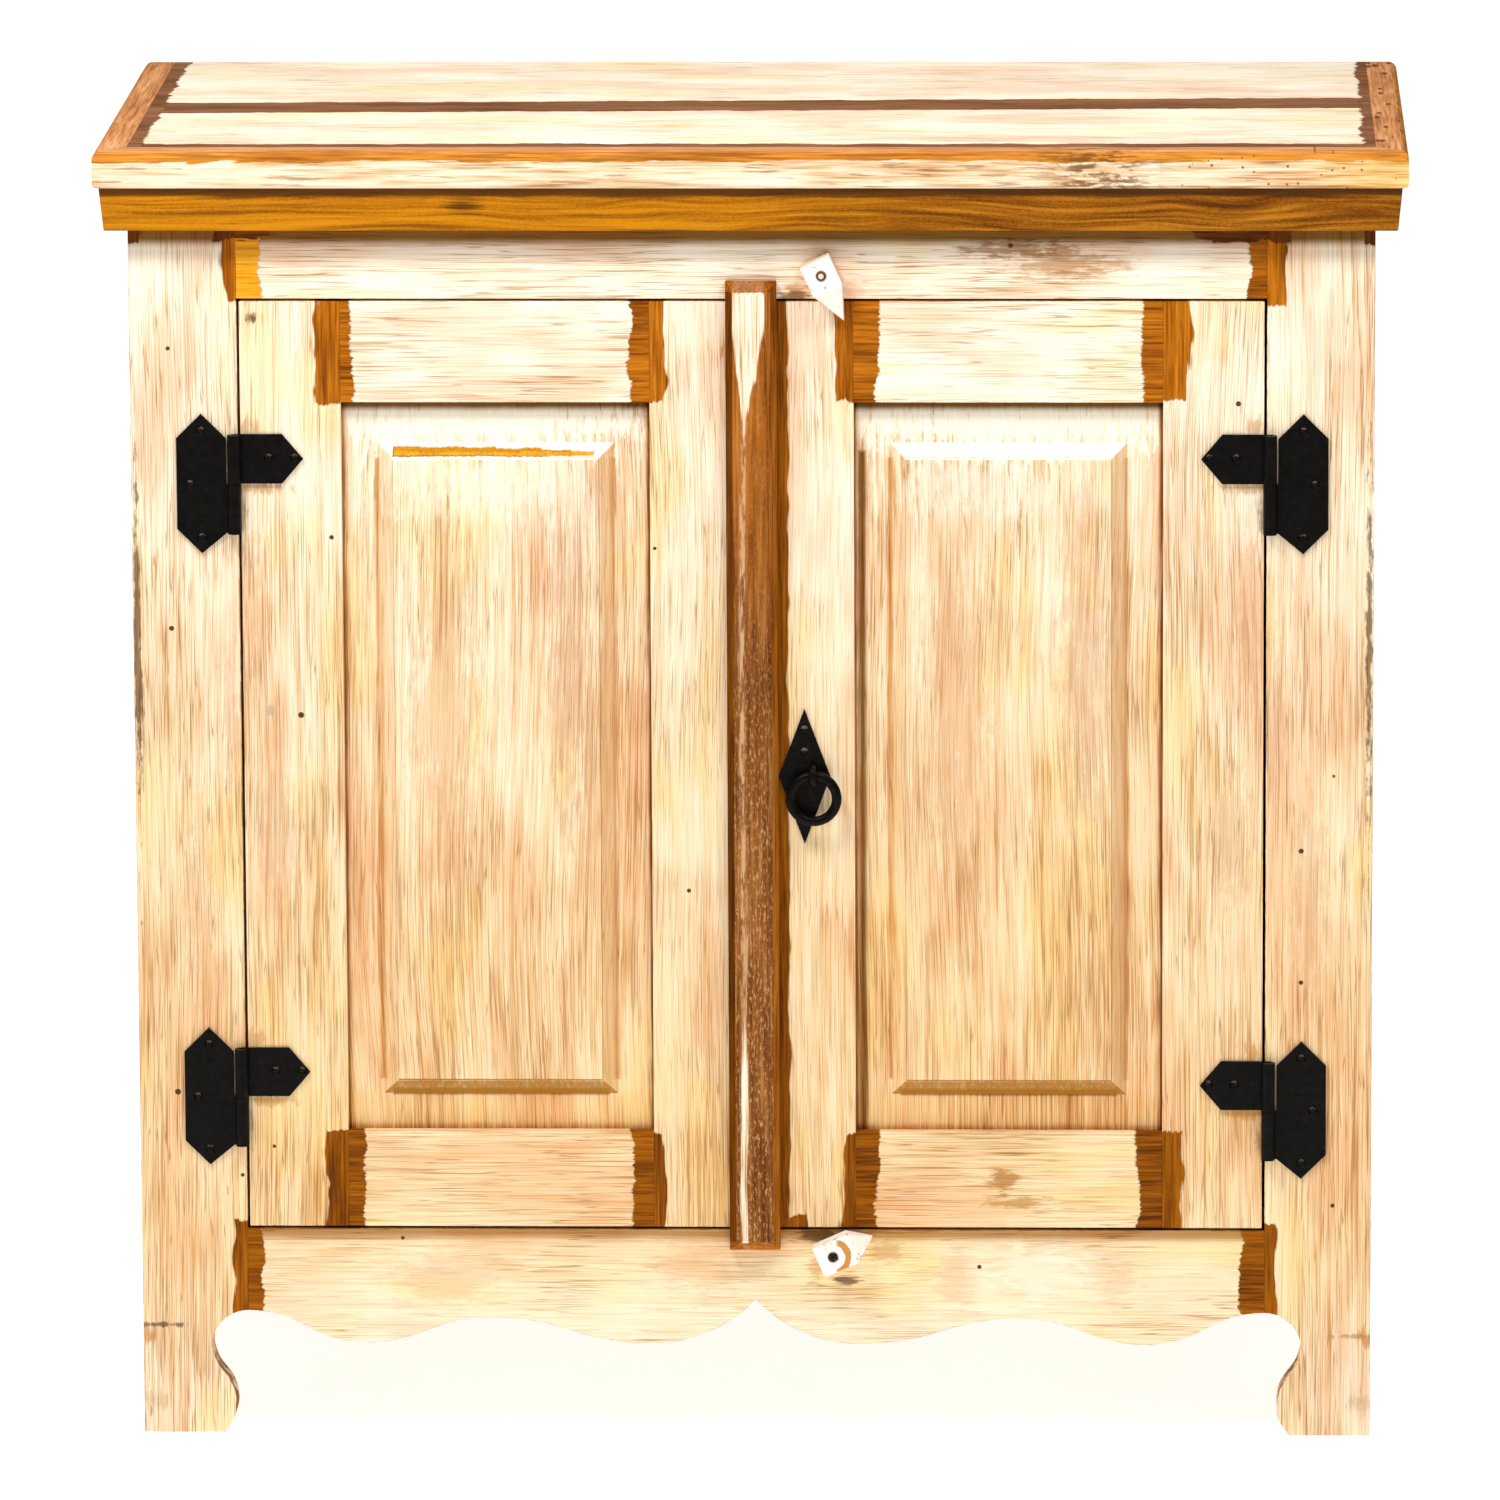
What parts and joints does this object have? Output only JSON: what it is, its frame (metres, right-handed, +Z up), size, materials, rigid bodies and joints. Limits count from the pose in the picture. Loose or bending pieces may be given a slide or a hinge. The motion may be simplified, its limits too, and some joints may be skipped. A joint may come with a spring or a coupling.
{
  "type": "two-door cupboard",
  "caption": "Low painted wooden cupboard with raised-panel doors on iron hinges, a ring pull, wooden turn buttons, a scalloped apron and scrolled feet.",
  "frame": {"origin": "on the floor, under the middle of the top", "axes": "+X to the right of someone facing the doors, +Y to the back, +Z up"},
  "size_m": [0.8972, 0.45, 0.904],
  "materials": {
    "painted_wood": "dry-brushed cream paint over brown wood, worn through at the joints",
    "painted_top": "cream paint over brown wood, bare at the ends and the seam",
    "gold_moulding": "golden-brown stained wood, satin varnish",
    "bare_wood": "bare and part-painted brown wood",
    "inner_wood": "plain brown wood, matt",
    "black_iron": "black, forged, satin"
  },
  "bodies": {
    "carcass": {"front_stile_left": "painted_wood", "front_stile_right": "painted_wood", "front_top_rail": "painted_wood", "front_apron": "painted_wood", "side_front_stile_left": "painted_wood", "side_rear_stile_left": "painted_wood", "side_top_rail_left": "painted_wood", "side_bottom_rail_left": "painted_wood", "side_panel_left": "painted_wood", "side_front_stile_right": "painted_wood", "side_rear_stile_right": "painted_wood", "side_top_rail_right": "painted_wood", "side_bottom_rail_right": "painted_wood", "side_panel_right": "painted_wood", "back_boards": "inner_wood", "back_top_rail": "inner_wood", "back_bottom_rail": "inner_wood", "floor_boards": "inner_wood", "shelf_boards": "inner_wood", "cleats": "inner_wood", "door_stop_strip": "inner_wood", "top_plank_front": "painted_top", "top_plank_rear": "painted_top", "top_edge_front": "painted_top", "top_edge_left": "painted_top", "top_edge_right": "painted_top", "under_moulding_front": "gold_moulding", "under_moulding_left": "gold_moulding", "under_moulding_right": "gold_moulding", "hinge_frame_leaf_left_upper": "black_iron", "hinge_frame_leaf_left_lower": "black_iron", "hinge_frame_leaf_right_upper": "black_iron", "hinge_frame_leaf_right_lower": "black_iron", "hinge_pins": "black_iron", "frame_leaf_screws": "black_iron", "turn_button_screws": "black_iron"},
    "door_left": {"door_left_hinge_stile": "painted_wood", "door_left_meeting_stile": "painted_wood", "door_left_top_rail": "painted_wood", "door_left_bottom_rail": "painted_wood", "door_left_panel": "painted_wood", "door_left_leaf_upper": "black_iron", "door_left_leaf_lower": "black_iron", "door_left_leaf_screws": "black_iron"},
    "door_right": {"door_right_hinge_stile": "painted_wood", "door_right_meeting_stile": "painted_wood", "door_right_top_rail": "painted_wood", "door_right_bottom_rail": "painted_wood", "door_right_panel": "painted_wood", "door_right_leaf_upper": "black_iron", "door_right_leaf_lower": "black_iron", "door_right_leaf_screws": "black_iron", "astragal": "bare_wood", "pull_backplate": "black_iron", "pull_eye": "black_iron", "pull_nails": "black_iron"},
    "pull_ring": {"pull_ring": "black_iron"},
    "turn_button_top": {"turn_button_top": "painted_wood"},
    "turn_button_bottom": {"turn_button_bottom": "painted_wood"}
  },
  "joints": [
    {"name": "door_left_hinge", "type": "hinge", "parent": "carcass", "child": "door_left", "pos_m": [-0.3551, -0.208, 0.4535], "axis": [0, 0, -1], "range_deg": [0, 170]},
    {"name": "door_right_hinge", "type": "hinge", "parent": "carcass", "child": "door_right", "pos_m": [0.3551, -0.208, 0.4535], "axis": [0, 0, 1], "range_deg": [0, 170]},
    {"name": "pull_ring_swing", "type": "hinge", "parent": "door_right", "child": "pull_ring", "pos_m": [0.0419, -0.2132, 0.4688], "axis": [-1, 0, 0], "range_deg": [0, 150]},
    {"name": "turn_button_top_pivot", "type": "hinge", "parent": "carcass", "child": "turn_button_top", "pos_m": [0.0485, -0.203, 0.8175], "axis": [0, -1, 0], "range_deg": [-25, 75]},
    {"name": "turn_button_bottom_pivot", "type": "hinge", "parent": "carcass", "child": "turn_button_bottom", "pos_m": [0.0543, -0.203, 0.1303], "axis": [0, -1, 0], "range_deg": [-114, 66]}
  ]
}
